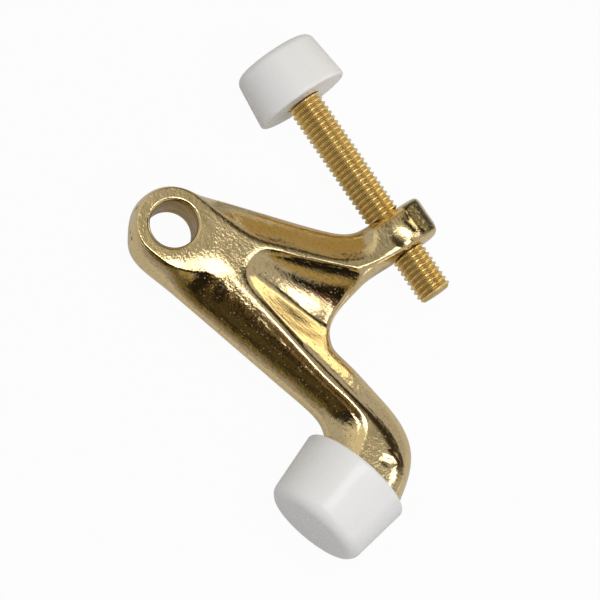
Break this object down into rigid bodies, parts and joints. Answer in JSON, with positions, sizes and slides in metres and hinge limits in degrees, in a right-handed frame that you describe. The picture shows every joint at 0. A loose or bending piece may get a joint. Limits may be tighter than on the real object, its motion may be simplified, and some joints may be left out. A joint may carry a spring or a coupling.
{
  "type": "hinge pin door stop",
  "caption": "Cast brass-plated door stop that drops over a hinge pin, with a screw-adjusted rod in a lug, a soft tip on the rod and a larger soft tip on the lower arm.",
  "frame": {"origin": "middle of the hinge pin bore, on the casting's parting plane", "axes": "+Z along the hinge pin bore, up in use; +Y along the adjusting rod towards its tip; +X from the bore towards the rod"},
  "size_m": [0.0421, 0.0643, 0.0164],
  "materials": {
    "plated_casting": "polished brass plating over a die casting",
    "brass_rod": "bright plated thread",
    "white_rubber": "smooth satin"
  },
  "bodies": {
    "stop_body": {"casting": "plated_casting", "fixed_tip": "white_rubber"},
    "sliding_tip": {"rod_tip": "white_rubber"},
    "screw_rod": {"rod": "brass_rod"}
  },
  "joints": [
    {"name": "rod_travel", "type": "slide", "parent": "stop_body", "child": "sliding_tip", "axis": [0, 1, 0], "range_m": [-0.016, 0.006]},
    {"name": "rod_turn", "type": "hinge", "parent": "sliding_tip", "child": "screw_rod", "pos_m": [0.0263, 0, 0], "axis": [0, 1, 0], "range_deg": [-7240, 2740]}
  ],
  "couplings": [
    {"joint": "rod_turn", "follows": "rod_travel", "rad_per_m": 7854}
  ]
}
